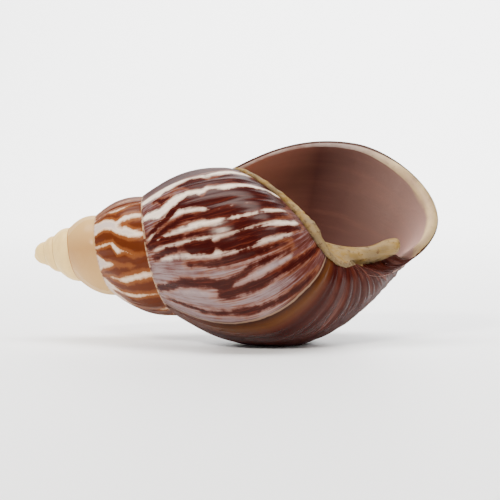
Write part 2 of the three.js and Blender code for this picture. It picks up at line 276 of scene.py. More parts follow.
# Clear dark streaks on the last whorl, each a line of place, age and half width; both of these are
# in thousandths of a whorl
BODY_STREAKS = [
    [(0.03, -972, 8), (0.5, -965, 10), (1, -965, 8)],
    [(0.02, -940, 6), (0.4, -942, 9), (0.8, -945, 8), (1.04, -940, 8)],
    [(0.05, -915, 7), (0.5, -920, 8), (0.8, -917, 6), (1.1, -918, 8)],
    [(0.1, -866, 2), (0.5, -868, 4), (0.9, -870, 5), (1.2, -868, 3)],
    [(0, -885, 8), (0.3, -885, 12), (0.9, -888, 14), (1.4, -890, 12)],
    [(0.28, -822, 1), (0.34, -810, 6), (0.4, -812, 4), (0.45, -815, 1)],
    [(0.6, -835, 4), (0.7, -830, 12), (0.8, -825, 13), (0.86, -822, 3), (0.9, -823, 7), (1.1, -825, 12),
     (1.4, -825, 13), (1.6, -820, 10)],
    [(0.08, -738, 3), (0.15, -744, 4), (0.35, -757, 6), (0.55, -780, 5), (0.65, -784, 9),
     (0.75, -782, 10), (0.8, -775, 6), (0.86, -778, 18), (1, -772, 14), (1.3, -772, 16), (1.5, -775, 14),
     (1.65, -765, 10)],
    [(0.05, -715, 3), (0.2, -727, 4), (0.4, -742, 4), (0.6, -752, 5), (0.8, -748, 4), (1, -743, 7),
     (1.25, -743, 8), (1.4, -748, 5), (1.6, -750, 6)],
    [(0.1, -708, 3), (0.3, -716, 4), (0.5, -718, 4), (0.75, -717, 3), (0.9, -717, 7), (1.1, -715, 8),
     (1.3, -717, 7), (1.6, -720, 5)],
    [(0.2, -685, 6), (0.3, -694, 4), (0.5, -697, 3), (0.65, -696, 7), (0.8, -692, 9), (0.85, -692, 2),
     (0.9, -690, 9), (1.15, -688, 11), (1.3, -690, 8), (1.5, -685, 6), (1.75, -675, 5)],
    [(0.6, -666, 2), (0.9, -662, 5), (1.2, -660, 4), (1.5, -655, 3)],
    [(0, -605, 4), (0.2, -615, 6), (0.45, -632, 5), (0.7, -634, 5), (0.8, -625, 6), (0.86, -622, 9),
     (0.92, -630, 4), (1.1, -641, 3), (1.3, -642, 3), (1.5, -638, 2)],
    [(0.84, -608, 6), (0.95, -610, 6), (1.2, -610, 5), (1.5, -608, 5), (1.75, -603, 6), (1.9, -595, 6)],
    [(0.2, -585, 2), (0.6, -575, 3), (1, -570, 4), (1.4, -565, 3), (1.7, -560, 2)],
    [(0.4, -510, 4), (0.9, -503, 12), (1.5, -505, 8), (2, -500, 6)],
]
# Clear rust streaks on the whorl above it
SPIRE_STREAKS = [
    [(0.1, -1910, 6), (0.5, -1915, 10), (1, -1910, 10)],
    [(0.15, -1853, 4), (0.5, -1848, 7), (0.8, -1846, 8), (1, -1848, 7)],
    [(0.05, -1875, 4), (0.3, -1880, 7), (0.6, -1885, 10), (0.95, -1880, 7)],
    [(0.1, -1830, 4), (0.4, -1820, 6), (0.6, -1800, 8), (0.75, -1810, 7), (0.9, -1815, 12),
     (1, -1810, 14)],
    [(0.78, -1765, 3), (0.9, -1755, 10), (1, -1750, 13)],
    [(0, -1745, 12), (0.3, -1745, 13), (0.5, -1740, 10), (0.6, -1722, 10), (0.7, -1712, 11),
     (0.8, -1700, 12), (1, -1690, 15)],
    [(0, -1705, 4), (0.1, -1697, 6), (0.25, -1690, 12), (0.45, -1688, 18), (0.55, -1670, 8),
     (0.7, -1670, 10), (0.85, -1655, 10), (1, -1650, 14)],
    [(0, -1620, 3), (0.25, -1630, 6), (0.5, -1637, 12), (0.6, -1640, 9), (0.75, -1640, 6),
     (0.9, -1645, 8), (1, -1640, 10)],
    [(0.05, -1615, 3), (0.2, -1600, 5), (0.4, -1590, 12), (0.6, -1585, 8), (0.8, -1590, 12),
     (1, -1585, 13)],
    [(0.3, -1550, 4), (0.5, -1535, 12), (0.7, -1530, 14), (0.85, -1530, 20), (1, -1530, 16)],
]
# Clear light streaks on the last whorl
PALE_STREAKS = [
    [(0.05, -850, 9), (0.3, -845, 10), (0.6, -850, 7), (0.85, -845, 4), (0.95, -850, 8), (1.3, -850, 6)],
    [(0.1, -790, 8), (0.3, -780, 12), (0.5, -795, 14), (0.7, -800, 12), (0.84, -806, 6), (0.92, -800, 6),
     (1, -797, 10), (1.3, -797, 11), (1.55, -795, 10)],
    [(0.1, -730, 4), (0.2, -745, 6), (0.4, -765, 8), (0.6, -770, 8), (0.75, -765, 5), (0.85, -757, 6),
     (1, -756, 5), (1.3, -755, 4)],
    [(0.1, -720, 3), (0.5, -728, 4), (0.75, -735, 6), (0.9, -730, 6), (1.2, -728, 7), (1.6, -730, 5)],
    [(0.2, -700, 3), (0.6, -708, 4), (0.8, -706, 6), (1, -703, 6), (1.3, -702, 6), (1.5, -700, 8),
     (1.7, -690, 8)],
    [(0.25, -680, 4), (0.6, -684, 4), (0.8, -678, 6), (1, -675, 6), (1.3, -675, 6), (1.6, -670, 5)],
    [(0.95, -626, 3), (1.2, -626, 4), (1.5, -626, 3)],
    [(0.3, -610, 2), (0.5, -614, 3), (0.75, -611, 2)],
]
# Ages over which further streaks follow a rule: from, to, distance between them
RULED_STREAKS = [
    (-2.02, -1.87, 0.055), (-1.48, -1.12, 0.055), (-1.08, -0.9, 0.042), (-0.455, -0.01, 0.037)
]
RULED_PLACES = [0.02, 0.3, 0.5, 0.62, 0.8, 0.95, 1.3, 1.7, 2.2, 3]
RULED_WANDER, RULED_HALVES = 0.2, (0.14, 0.4)
# Streak fields: ages to a unit, how near a streak counts, ages to a place past its end, value far away
STREAK_UNIT, STREAK_NEAR, STREAK_END, STREAK_NONE = 0.01, 0.12, 0.1, -3.0
STREAK_GAIN = 1.3
# Outside the ages of the clear light streaks, light starts so far from the dark ones
PALE_APART, PALE_AGES = 1.3, (-0.9, -0.55)
random = np.random.default_rng(7)


def ruled_streaks():
    """Streaks at about even distances, with wandering centres and widths."""
    streaks = []
    for first, last, apart in RULED_STREAKS:
        for age in np.arange(first, last, apart):
            wander = np.cumsum(random.uniform(-RULED_WANDER, RULED_WANDER, len(RULED_PLACES))) * apart
            centre = age + random.uniform(-RULED_WANDER, RULED_WANDER) * apart + wander - wander.mean()
            half = apart * random.uniform(*RULED_HALVES, len(RULED_PLACES))
            streaks.append(list(zip(RULED_PLACES, centre, half)))
    return streaks


def in_whorls(streaks):
    return [[(place, age / 1000, half / 1000) for place, age, half in streak] for streak in streaks]


DARK_STREAKS = in_whorls(BODY_STREAKS + SPIRE_STREAKS) + ruled_streaks()
LIGHT_STREAKS = in_whorls(PALE_STREAKS)


def streak_field(streaks, age, place, gain):
    """How far inside one of the streaks a point is; negative outside all of them."""
    field = np.full(place.shape, STREAK_NONE)
    for streak in streaks:
        places, ages, halves = np.array(streak).T
        if abs(ages.mean() - age) < STREAK_NEAR:
            half = np.interp(place, places, halves) * gain
            end = np.maximum(np.maximum(places[0] - place, place - places[-1]), 0) * STREAK_END
            inside_by = half - np.hypot(np.interp(place, places, ages) - age, end)
            field = np.maximum(field, inside_by / STREAK_UNIT)
    return field


# Edge of the bare callus and columella on the whorl: age, place
MARGIN = [
    (-0.98, 1.04),
    (-0.86, 1.3),
    (-0.83, 1.5),
    (-0.79, 1.75),
    (-0.73, 1.92),
    (-0.66, 1.97),
    (-0.58, 1.98),
    (-0.5, 2.03),
    (-0.42, 2.2),
    (-0.34, 2.42),
    (-0.25, 2.75),
    (-0.14, 3),
]
MARGIN_WIDTH = 0.035


def bare_margin(age, place):
    """1 on the bare callus and columella, 0 on the coloured whorl."""
    ages, places = zip(*MARGIN)
    if age < ages[0]:
        return np.zeros(len(place))
    return smooth((place - np.interp(age, ages, places) + MARGIN_WIDTH) / MARGIN_WIDTH)


# Relief: heights in mm, ages and widths in whorls
ARREST_AGE, ARREST_WIDTH, ARREST_DEPTH = -0.549, 0.004, 0.12
RIDGE, RIDGES_FROM, RIDGES_FADE = 0.05, -2.2, 0.6
# Growth ridges, each a wave: length in whorls, phase, weight; they bend along the place
WAVES = [(0.0131, 0.4, 0.7), (0.0223, 1.7, 1.1), (0.0371, 3.1, 1.4), (0.0617, 5.2, 1.2)]
WAVE_BEND, WAVE_BENDS = 1.3, 2.3
BEAD, BEADS_APART, BEADS_AT, BEADS_WIDTH = 0.16, 0.017, 0.01, 0.045
BEADS_FROM, BEADS_FADE, BEAD_DRIFT, BEAD_DRIFTS = -2.1, 0.5, 1.5, 40
PLEAT, PLEATS_APART, PLEAT_PHASE = 0.07, 0.043, 0.6
PLEATS_FROM, PLEATS_FADE, PLEATS_GROW = 1.25, 0.6, 0.1


def relief(age, place):
    """Height over the even surface: growth ridges, the growth stop, a beaded suture, pleats."""
    height = np.zeros(place.shape)
    for length, phase, weight in WAVES:
        bend = WAVE_BEND * np.sin(WAVE_BENDS * place + phase)
        height += RIDGE * weight * np.sin(2 * np.pi * (age / length) + phase + bend)
    height *= smooth((age - RIDGES_FROM) / RIDGES_FADE)
    stop = (age - ARREST_AGE) / ARREST_WIDTH
    height -= ARREST_DEPTH * np.exp(-stop * stop)
    beads = np.sin(2 * np.pi * age / BEADS_APART + BEAD_DRIFT * np.sin(age * BEAD_DRIFTS))
    near_suture = np.exp(-(((place - BEADS_AT) / BEADS_WIDTH) ** 2))
    height += BEAD * beads * near_suture * smooth((age - BEADS_FROM) / BEADS_FADE)
    pleats = np.sin(2 * np.pi * age / PLEATS_APART + PLEAT_PHASE)
    on_base = smooth((place - PLEATS_FROM) / PLEATS_FADE)
    height += PLEAT * pleats * on_base * smooth((age - ARREST_AGE) / PLEATS_GROW)
    return height * RADIUS_RATIO**age


def weathered(age, place):
    """Outer surface with its relief, which leaves the suture line itself alone."""
    off_suture = np.where(place <= 0, 0, 1)
    return outside(age, place) + outward(age, place) * (relief(age, place) * off_suture)[:, None]


# Values carried by every corner of a face, for the material to read
CHANNELS = ["age", "place", "cavity", "bare", "depth", "dark", "pale"]


class Row:
    """Points in a line, each with its values for the material."""

    def __init__(self, ids, values):
        self.ids = np.asarray(ids, int)
        self.values = np.asarray(values, float)

    def __len__(self):
        return len(self.ids)

    def part(self, index):
        return Row(self.ids[index], self.values[index])

    def at(self, k):
        return self.part([k])

    def backwards(self):
        return self.part(slice(None, None, -1))

    def joined(self, other):
        return Row(np.concatenate([self.ids, other.ids]), np.concatenate([self.values, other.values]))

    def closed(self):
        return self.joined(self.at(0))


class Skin:
    """Closed surface under construction."""

    def __init__(self):
        self.points = []
        self.count = 0
        self.faces = []
        self.corner_values = []

    def add(self, points):
        points = np.asarray(points, float).reshape(-1, 3)
        self.points.append(points)
        self.count += len(points)
        return np.arange(self.count - len(points), self.count)

    def row(self, points, **values):
        ids = self.add(points)
        table = np.zeros((len(ids), len(CHANNELS)))
        for name, value in values.items():
            table[:, CHANNELS.index(name)] = value
        return Row(ids, table)

    def all_points(self):
        self.points = [np.concatenate(self.points)]
        return self.points[0]

    def face(self, ids, values):
        if len(set(ids)) == len(ids):
            self.faces.append(tuple(int(i) for i in ids))
            self.corner_values.extend(values)
        elif len(ids) == 4:
            keep = [k for k in range(4) if ids[k] != ids[k - 1]]
            if len(keep) == 3:
                self.face([ids[k] for k in keep], [values[k] for k in keep])

    def face_through(self, *corners):
        """Face through points that are each given as a row and an index in it."""
        self.face([row.ids[k] for row, k in corners], [row.values[k] for row, k in corners])

    def fill(self, first, second):
        """Fills the strip between two rows that need not have equally many points."""
        if len(first) == len(second):
            for k in range(len(first) - 1):
                self.face_through((first, k), (first, k + 1), (second, k + 1), (second, k))
            return
        where = self.all_points()
        a, b = where[first.ids], where[second.ids]
        i = k = 0
        while i < len(first) - 1 or k < len(second) - 1:
            first_done, second_done = i == len(first) - 1, k == len(second) - 1
            step_first = not first_done and (
                second_done or np.linalg.norm(a[i + 1] - b[k]) <= np.linalg.norm(a[i] - b[k + 1])
            )
            if step_first:
                self.face_through((first, i), (first, i + 1), (second, k))
                i += 1
            else:
                self.face_through((first, i), (second, k + 1), (second, k))
                k += 1

    def close(self, loop, tip, rings):
        """Closes a loop with rings that bulge towards a tip."""
        start = self.all_points()[loop.ids]
        middle = start.mean(0)
        rise = np.asarray(tip, float) - middle
        ring = loop
        for k in range(1, rings):
            bend = k / rings * math.pi / 2
            bulge = middle + (start - middle) * math.cos(bend) + rise * math.sin(bend)
            following = Row(self.add(bulge), loop.values)
            self.fill(ring.closed(), following.closed())
            ring = following
        ring = ring.closed()
        top = self.add(tip)
        for k in range(len(loop)):
            self.face_through((ring, k), (ring, k + 1), (Row(top, ring.values[[k]]), 0))


def spread(start, end, steps):
    """Shares from just after start up to end."""
    return start + (end - start) * np.arange(1, steps + 1) / steps


# Shares of the growth line that have points: as far as the seam with the next whorl, along the
# wedge that the lip rests on, and on to the notch
UPPER = np.concatenate([[0], spread(0, 1, BODY_ROWS)])
FRONT = np.concatenate([spread(1 + WEDGE, 2, FRONT_ROWS), spread(2, 3, NOTCH_ROWS)])
FULL = np.concatenate([UPPER, spread(1, 1 + WEDGE, WEDGE_ROWS), FRONT])
SEAM = len(UPPER) - 1
WEDGE_END = SEAM + WEDGE_ROWS
OLDEST = round(-OLDEST_AGE / AGE_STEP)


def shares_of(whorl):
    """Shares for a whorl, counted back from the lip; the older ones end at the seam."""
    if whorl < 1:
        return FULL
    return np.concatenate([[0], spread(0, 1, SPIRE_ROWS[min(whorl, len(SPIRE_ROWS)) - 1])])


def thinned(shares, every):
    """One share in so many, always with the last one."""
    return shares[(len(shares) - 1) % every :: every]


def grow_outside(skin):
    """Outer surface, in columns of points from the lip back to the first whorl."""
    columns = []
    for step in range(OLDEST + 1):
        age = -step * AGE_STEP
        whorl = (step - 1) // TURN_STEPS
        shares = shares_of(whorl)
        place = place_of(age, shares)
        dark = streak_field(DARK_STREAKS, age, place, STREAK_GAIN)
        pale = -PALE_APART - dark
        if PALE_AGES[0] < age < PALE_AGES[1]:
            pale = streak_field(LIGHT_STREAKS, age, place, 1)
        bare = bare_margin(age, place)
        row = skin.row(weathered(age, place), age=age, place=place, bare=bare, dark=dark, pale=pale)
        if step >= TURN_STEPS:
            at_seam = SEAM if whorl < 1 else len(shares) - 1
            row.ids[at_seam] = columns[step - TURN_STEPS].ids[0]
        columns.append(row)
    for step in range(OLDEST):
        column = columns[step]
        if step == TURN_STEPS:
            column = column.part(slice(0, SEAM + 1))
        skin.fill(column, columns[step + 1])
    return columns


def close_apex(skin, columns):
    """Dome over the first suture and the oldest column."""
    loop = columns[OLDEST - TURN_STEPS].at(0)
    for column in columns[OLDEST - TURN_STEPS + 1 :]:
        loop = loop.joined(column.at(0))
    loop = loop.joined(columns[OLDEST].part(slice(1, -1)))
    loop.values[:, CHANNELS.index("age")] = OLDEST_AGE
    loop.values[:, CHANNELS.index("place")] = 0.5
    skin.close(loop, (APEX_ALONG, 0, 0), APEX_RINGS)


def cavity_loop(skin, columns, step, every):
    """Loop round the cavity in three arcs: along the wall, the columella and the older whorl."""
    age = -step * AGE_STEP
    if step == 0:
        behind = columns[TURN_STEPS].part(slice(WEDGE_END, None))
        older = Row(behind.ids, behind.values.copy())
        older.values[:, CHANNELS.index("cavity")] = 1
    else:
        place = place_of(age - ATTACH, thinned(np.concatenate([[1 + WEDGE], FRONT]), every))
        older = skin.row(outside(age - ATTACH, place), age=age - ATTACH, place=place, cavity=1)
    shares = thinned(FULL[1:-1], every)
    gap = skin.all_points()[older.ids[0]] - inside(age, 0)
    blend = np.maximum(1 - shares / GAP_CLOSES, 0) ** 2
    wall_points = inside(age, shares) + gap * blend[:, None]
    outer = skin.row(wall_points, age=age, place=place_of(age, shares), cavity=1)
    end = inside(age, 3)
    last = skin.row(end, age=age, place=edge_place(age), cavity=1)
    steps = PILLAR_STEPS // every
    pillar_points = pillar(age, end, None, 1 - np.arange(1, steps) / steps)
    inner = skin.row(pillar_points, age=age, place=3, cavity=1, bare=1)
    arcs = [
        older.at(0).joined(outer).joined(last),
        last.joined(inner).joined(older.at(-1)),
        older.backwards(),
    ]
    for arc in arcs:
        arc.values[:, CHANNELS.index("depth")] = -age
    return arcs


def grow_cavity(skin, columns):
    """The hollow, from the lip to its blind end; gives its loop at the lip."""
    hollow = round(-HOLLOW_AGE / AGE_STEP)
    fine = round(-FINE_CAVITY_AGE / AGE_STEP)
    arcs = mouth = cavity_loop(skin, columns, 0, 1)
    step = 1
    while step <= hollow:
        following = cavity_loop(skin, columns, step, 1 if step < fine else DEEP_SKIP)
        for deeper, arc in zip(following, arcs):
            skin.fill(deeper, arc)
        arcs = following
        step += 1 if step < fine else DEEP_STRIDE
    first, second, third = (arc.part(slice(0, -1)) for arc in arcs)
    deep = first.joined(second).joined(third).backwards()
    skin.close(deep, skin.all_points()[deep.ids].mean(0), 1)
    return mouth


def grow_lip(skin, columns, mouth):
    """Round rim between the outer surface and the cavity; gives its end on the columella."""
    lip, lip_inside = columns[0], mouth[0]
    where = skin.all_points()
    across = np.arange(1, RIM_STEPS) / RIM_STEPS
    bend = np.pi * across[:, None]
    a, b = where[lip.ids[-1]], where[lip_inside.ids[-1]]
    middle = skin.row(a + (b - a) * across[:, None], place=3, bare=1, cavity=across)
    last_rim = lip.at(-1).joined(middle).joined(lip_inside.at(-1))
    rim = columns[TURN_STEPS].part(slice(SEAM, WEDGE_END + 1))
    for k in range(1, len(lip) - 1):
        ahead = unit(outside(TINY, FULL[k]) - outside(-TINY, FULL[k]))
        start, end = where[lip.ids[k]], where[lip_inside.ids[k]]
        centre, half = (start + end) / 2, (start - end) / 2
        bulge = centre + half * np.cos(bend) + ahead * np.linalg.norm(half) * np.sin(bend)
        between = skin.row(bulge, place=FULL[k], cavity=across)
        following = lip.at(k).joined(between).joined(lip_inside.at(k))
        skin.fill(rim, following)
        rim = following
    skin.fill(rim, last_rim)
    return last_rim


def grow_columella(skin, columns, mouth, last_rim):
    """Bare part of the columella, out to its cut-off tip."""
    turn = CORD_PHASE + 360 * np.arange(TURN_STEPS) / TURN_STEPS
    tip_ring = skin.row(cord_surface(TIP_ALONG, turn), place=3, bare=1)
    where = skin.all_points()
    lip_end = columns[0].at(-1)
    a, b = where[lip_end.ids[0]], where[tip_ring.ids[0]]
    tail_steps = math.ceil(np.linalg.norm(a - b) / CORD_SPACING)
    share = np.arange(1, tail_steps) / tail_steps
    tail = skin.row(a + (b - a) * share[:, None], place=3, bare=1)
    tail = lip_end.joined(tail).joined(tip_ring.at(0))
    cord_row = mouth[1].backwards().joined(last_rim.backwards().part(slice(1, None)))
    cord_row = cord_row.joined(tail.part(slice(1, None)))
    for step in range(1, TURN_STEPS):
        row, end = columns[TURN_STEPS - step].at(-1), tip_ring.at(step)
        where = skin.all_points()
        a, b = where[row.ids[0]], where[end.ids[0]]
        steps = max(round(np.linalg.norm(a - b) / CORD_SPACING), 1)
        if steps > 1:
            points = pillar(step * AGE_STEP, b, turn[step], np.arange(1, steps) / steps)
            row = row.joined(skin.row(points, place=3, bare=1))
        row = row.joined(end)
        skin.fill(row, cord_row)
        cord_row = row
    skin.fill(tail, cord_row)
    skin.close(tip_ring, (TIP_ALONG + TIP_LENGTH, 0, 0), TIP_RINGS)


def spline(knots, u):
    """Smooth curve through the knots, from 0 to 1."""
    knots = np.asarray(knots, float)
    knots = np.concatenate([[2 * knots[0] - knots[1]], knots, [2 * knots[-1] - knots[-2]]])
    at = np.clip(u * (len(knots) - 3), 0, len(knots) - 3 - 1e-9)
    k = at.astype(int)
    f = (at - k)[:, None]
    a, b, c, d = knots[k], knots[k + 1], knots[k + 2], knots[k + 3]
    square, cube = 2 * a - 5 * b + 4 * c - d, 3 * b - a - 3 * c + d
    return 0.5 * (2 * b + (c - a) * f + square * f**2 + cube * f**3)


def grow_callus(skin):
    """The callus cord, drawn on along the edge of the columella."""
    u = np.linspace(0, 1, CALLUS_STEPS + 1)
    age, place, radius = spline(CALLUS + MARGIN_CORD, u).T
    up = outward(age, place)
    rise = smooth((age + ATTACH) / CALLUS_RISES_OVER)
    drop = CALLUS_DROP * smooth((age - CALLUS_DROPS_FROM) / CALLUS_DROPS_OVER)
    path = outside(age, place) + up * (CALLUS_LIFT * rise * (1 - drop) * radius)[:, None]

    # Straight bridge across the fold
    first, last = np.searchsorted(age, BRIDGE)
    share = np.linspace(0, 1, last - first + 1)
    reach = np.linalg.norm(path[last] - path[first])
    leave = path[first] + unit(path[first] - path[first - 3]) * reach / 3
    arrive = path[last] - unit(path[last + 3] - path[last]) * reach / 3
    path[first : last + 1] = bezier(path[first], leave, arrive, path[last], share)
    up[first : last + 1] = unit(up[first] * (1 - share)[:, None] + up[last] * share[:, None])

    # Rings round the path, with a grain that is evened out over near points
    ahead = unit(np.gradient(path, axis=0))
    side = unit(np.cross(up, ahead))
    turn = 2 * np.pi * np.arange(CALLUS_SIDES) / CALLUS_SIDES
    grain = random.normal(0, 1, (CALLUS_STEPS + 1, CALLUS_SIDES))
    for _ in range(2):
        grain = (np.roll(grain, 1, 1) + grain + np.roll(grain, -1, 1)) / 3
        grain = (np.roll(grain, 1, 0) + grain + np.roll(grain, -1, 0)) / 3
    ends = np.minimum(1, np.sqrt(np.minimum(u, 1 - u) / CALLUS_TAPER))
    rings = []
    for k in range(CALLUS_STEPS + 1):
        around = side[k] * np.cos(turn)[:, None] + up[k] * np.sin(turn)[:, None]
        swell = radius[k] * ends[k] * (1 + GRAIN * grain[k]) + TINY
        points = path[k] + around * swell[:, None]
        rings.append(skin.row(points, age=age[k], place=place[k], bare=1, dark=STREAK_NONE).closed())
    for k in range(CALLUS_STEPS):
        skin.fill(rings[k], rings[k + 1])
    start_loop = rings[0].part(slice(0, -1)).backwards()
    end_loop = rings[-1].part(slice(0, -1))
    for loop in (start_loop, end_loop):
        skin.close(loop, skin.all_points()[loop.ids].mean(0), 1)


def grow_shell():
    skin = Skin()
    columns = grow_outside(skin)
    close_apex(skin, columns)
    mouth = grow_cavity(skin, columns)
    last_rim = grow_lip(skin, columns, mouth)
    grow_columella(skin, columns, mouth, last_rim)
    grow_callus(skin)
    return skin


def lay_down(points):
    """Turns the shell as it lies, and moves it into the box that the solid has."""
    roll, pitch = math.radians(ROLL), math.radians(PITCH)
    x, y, z = points.T
    y, z = y * math.cos(roll) - z * math.sin(roll), y * math.sin(roll) + z * math.cos(roll)
    x, z = x * math.cos(pitch) - z * math.sin(pitch), x * math.sin(pitch) + z * math.cos(pitch)
    laid = np.stack([x, y, z], 1)
    low, high = laid.min(0), laid.max(0)
    low[2] += REST_DEPTH
    box_low, box_high = (np.array(corner) / MM for corner in CAD_BOX)
    laid = box_low + (laid - low) / (high - low) * (box_high - box_low)
    laid[:, 2] = np.maximum(laid[:, 2], 0)
    return laid


def put_in_scene(name, data):
    piece = bpy.data.objects.new(name, data)
    bpy.context.scene.collection.objects.link(piece)
    return piece


def make_piece(name, points, faces, material):
    """A smooth piece of the scene, m."""
    mesh = bpy.data.meshes.new(name)
    mesh.from_pydata(points, [], faces)
    mesh.polygons.foreach_set("use_smooth", [True] * len(faces))
    mesh.materials.append(material)
    return put_in_scene(name, mesh)


def make_shell():
    skin = grow_shell()
    points = lay_down(skin.all_points()) * MM
    piece = make_piece("shell_grown", points.tolist(), skin.faces, shell_material())
    corners = np.array(skin.corner_values)
    for k, channel in enumerate(CHANNELS):
        attribute = piece.data.attributes.new(channel, "FLOAT", "CORNER")
        attribute.data.foreach_set("value", corners[:, k].astype(np.float32))
    piece.data.update()
    return piece


def srgb(red, green, blue):
    """Linear colour for one that is read off a screen, 0 to 255."""
    parts = [c / 255 for c in (red, green, blue)]
    return tuple(c / 12.92 if c <= 0.04045 else ((c + 0.055) / 1.055) ** 2.4 for c in parts) + (1,)


# Colours by where they are: spire, last whorl, late growth, columella, inside and lip
CREAM = srgb(222, 188, 120)
SHINY_TAN = srgb(162, 122, 76)
CLOUD_TAN = srgb(184, 144, 92)
# Tan of the thin line under the older sutures, partly its own colour and partly painted shade of the
# crease
SUTURE_TAN_AND_SHADE = srgb(140, 86, 42)
SPIRE_WHITE = srgb(202, 182, 164)
WHITE = srgb(230, 212, 192)
LILAC_WHITE = srgb(142, 124, 122)
PALE_LILAC = srgb(176, 158, 150)
LILAC = srgb(122, 104, 104)
MAUVE = srgb(82, 48, 44)
MAROON = srgb(42, 6, 5)
CHESTNUT = srgb(64, 24, 15)
PALE_RUST = srgb(162, 118, 80)
RUST = srgb(106, 58, 28)
DARK_RUST = srgb(76, 32, 12)
HALO = srgb(146, 92, 54)
LINE_BROWN = srgb(92, 38, 24)
PALE_BEAD = srgb(178, 146, 112)
AMBER = srgb(38, 12, 6)
OCHRE = srgb(78, 44, 16)
LATE_BROWN = srgb(70, 28, 12)
LATE_MAROON = srgb(46, 10, 6)
LATE_RED = srgb(56, 14, 8)
LATE_MAUVE = srgb(108, 62, 50)
ARREST = srgb(150, 120, 98)
BONE = srgb(128, 106, 72)
YELLOW = srgb(122, 96, 50)
GREY_BONE = srgb(98, 84, 64)
PIT = srgb(62, 38, 24)
# The next colour is painted shade, laid on more deeply in the cavity
INSIDE_PAINTED_SHADE = srgb(74, 30, 26)
INSIDE_RUST = srgb(184, 120, 98)
INSIDE_MAUVE = srgb(82, 50, 44)
INSIDE_LILAC = srgb(134, 106, 98)
INSIDE_BASE = srgb(158, 126, 116)
LIP_CREAM = srgb(208, 182, 128)
LIP_EDGE = srgb(190, 170, 160)
LIP_DARK = srgb(50, 26, 20)

# Ages between which the outside changes; a pair that falls is 1 on its older side
PLAIN_SPIRE = (-1.93, -2.0)
BEADS_SHOW = (-2.1, -1.9)
SPIRE_LINED = (-2.0, -1.5)
LILAC_GAPS = (-2.0, -1.9)
LAST_WHORL = (-1.1, -0.95)
LILAC_CORES = (-0.8, -0.72)
LOWER_HALF = (-0.72, -0.62)
LATE_GROWTH = (-0.556, -0.549)
LATE_LINED = (-0.53, -0.5)
LATE_STREAKED = (-0.52, -0.5)
LATE_BANDED = (-0.5, -0.42)
LIP_LINE = (-0.006, -0.002)
GREY_MARGIN = (-0.74, -0.6)
# The line where growth stopped: from, to, softness, wander
ARREST_FROM, ARREST_TO, ARREST_SOFT, ARREST_WANDER = -0.5515, -0.5475, 0.0012, 0.006

# Ground colour by age
OLDEST_SHOWN = -4.0
EARLY_STOPS = [(-3.1, CREAM), (-2.7, SHINY_TAN), (-2.2, CREAM), (-1.95, SPIRE_WHITE)]
LATE_STOPS = [
    (-0.545, AMBER),
    (-0.533, OCHRE),
    (-0.518, LATE_BROWN),
    (-0.5, LATE_MAROON),
    (-0.46, LATE_RED),
    (-0.42, CHESTNUT),
]
# Colour by share of the growth line
INSIDE_STOPS = [(0.06, INSIDE_RUST), (0.27, INSIDE_MAUVE), (0.5, INSIDE_LILAC), (1, INSIDE_BASE)]
LIP_STOPS = [(0.32, LIP_EDGE), (0.5, LIP_CREAM), (0.8, LIP_CREAM), (1, YELLOW)]

# Streak field that a ramp spans, and how much wider the streaks of the spire are
FIELD_SPAN = 2.4
SPIRE_GAIN = 0.42

# Noise that follows growth: features in a whorl and in a unit of place, detail, roughness, offset
WANDER = (26, 7, 2.0, 0.55, 0)
RAGGED = (90, 18, 3.0, 0.6, 3)
LINES = (230, 2.5, 4.0, 0.65, 5)
CLOUD = (9, 2.2, 4.0, 0.6, 9)
BANDS = (34, 0.8, 2.0, 0.5, 21)
BEADED = (95, 12, 2.0, 0.5, 31)
INNER_LINES = (60, 1.2, 3.0, 0.55, 41)
FINE = (420, 3, 3.0, 0.6, 51)
SPIRAL = (20, 90, 2.0, 0.5, 61)
# Noise in space: detail, roughness, features in a metre
GRAINS = (4.0, 0.65, 900.0)
CLOUDS = (3.0, 0.5, 160.0)
FIBRES_ALONG, FIBRES_ACROSS, FIBRES = 150.0, 900.0, (3.0, 0.6)

# Gloss and fine relief
ROUGHNESS, FINE_ROUGHER, INNER_ROUGHER, BARE_ROUGHER, SLANT_ROUGHER = 0.08, 0.2, 0.2, 0.25, 0.5
SLANT = (0.45, 0.95)
SPECULAR, SPECULAR_TINT = 0.12, (1, 0.86, 0.74, 1)
BUMP_STRENGTH, BUMP_DISTANCE, SPIRAL_BUMP, GRAIN_BUMP = 0.35, 0.00006, 0.25, 1.2


def grey(level):
    return (level, level, level, 1)


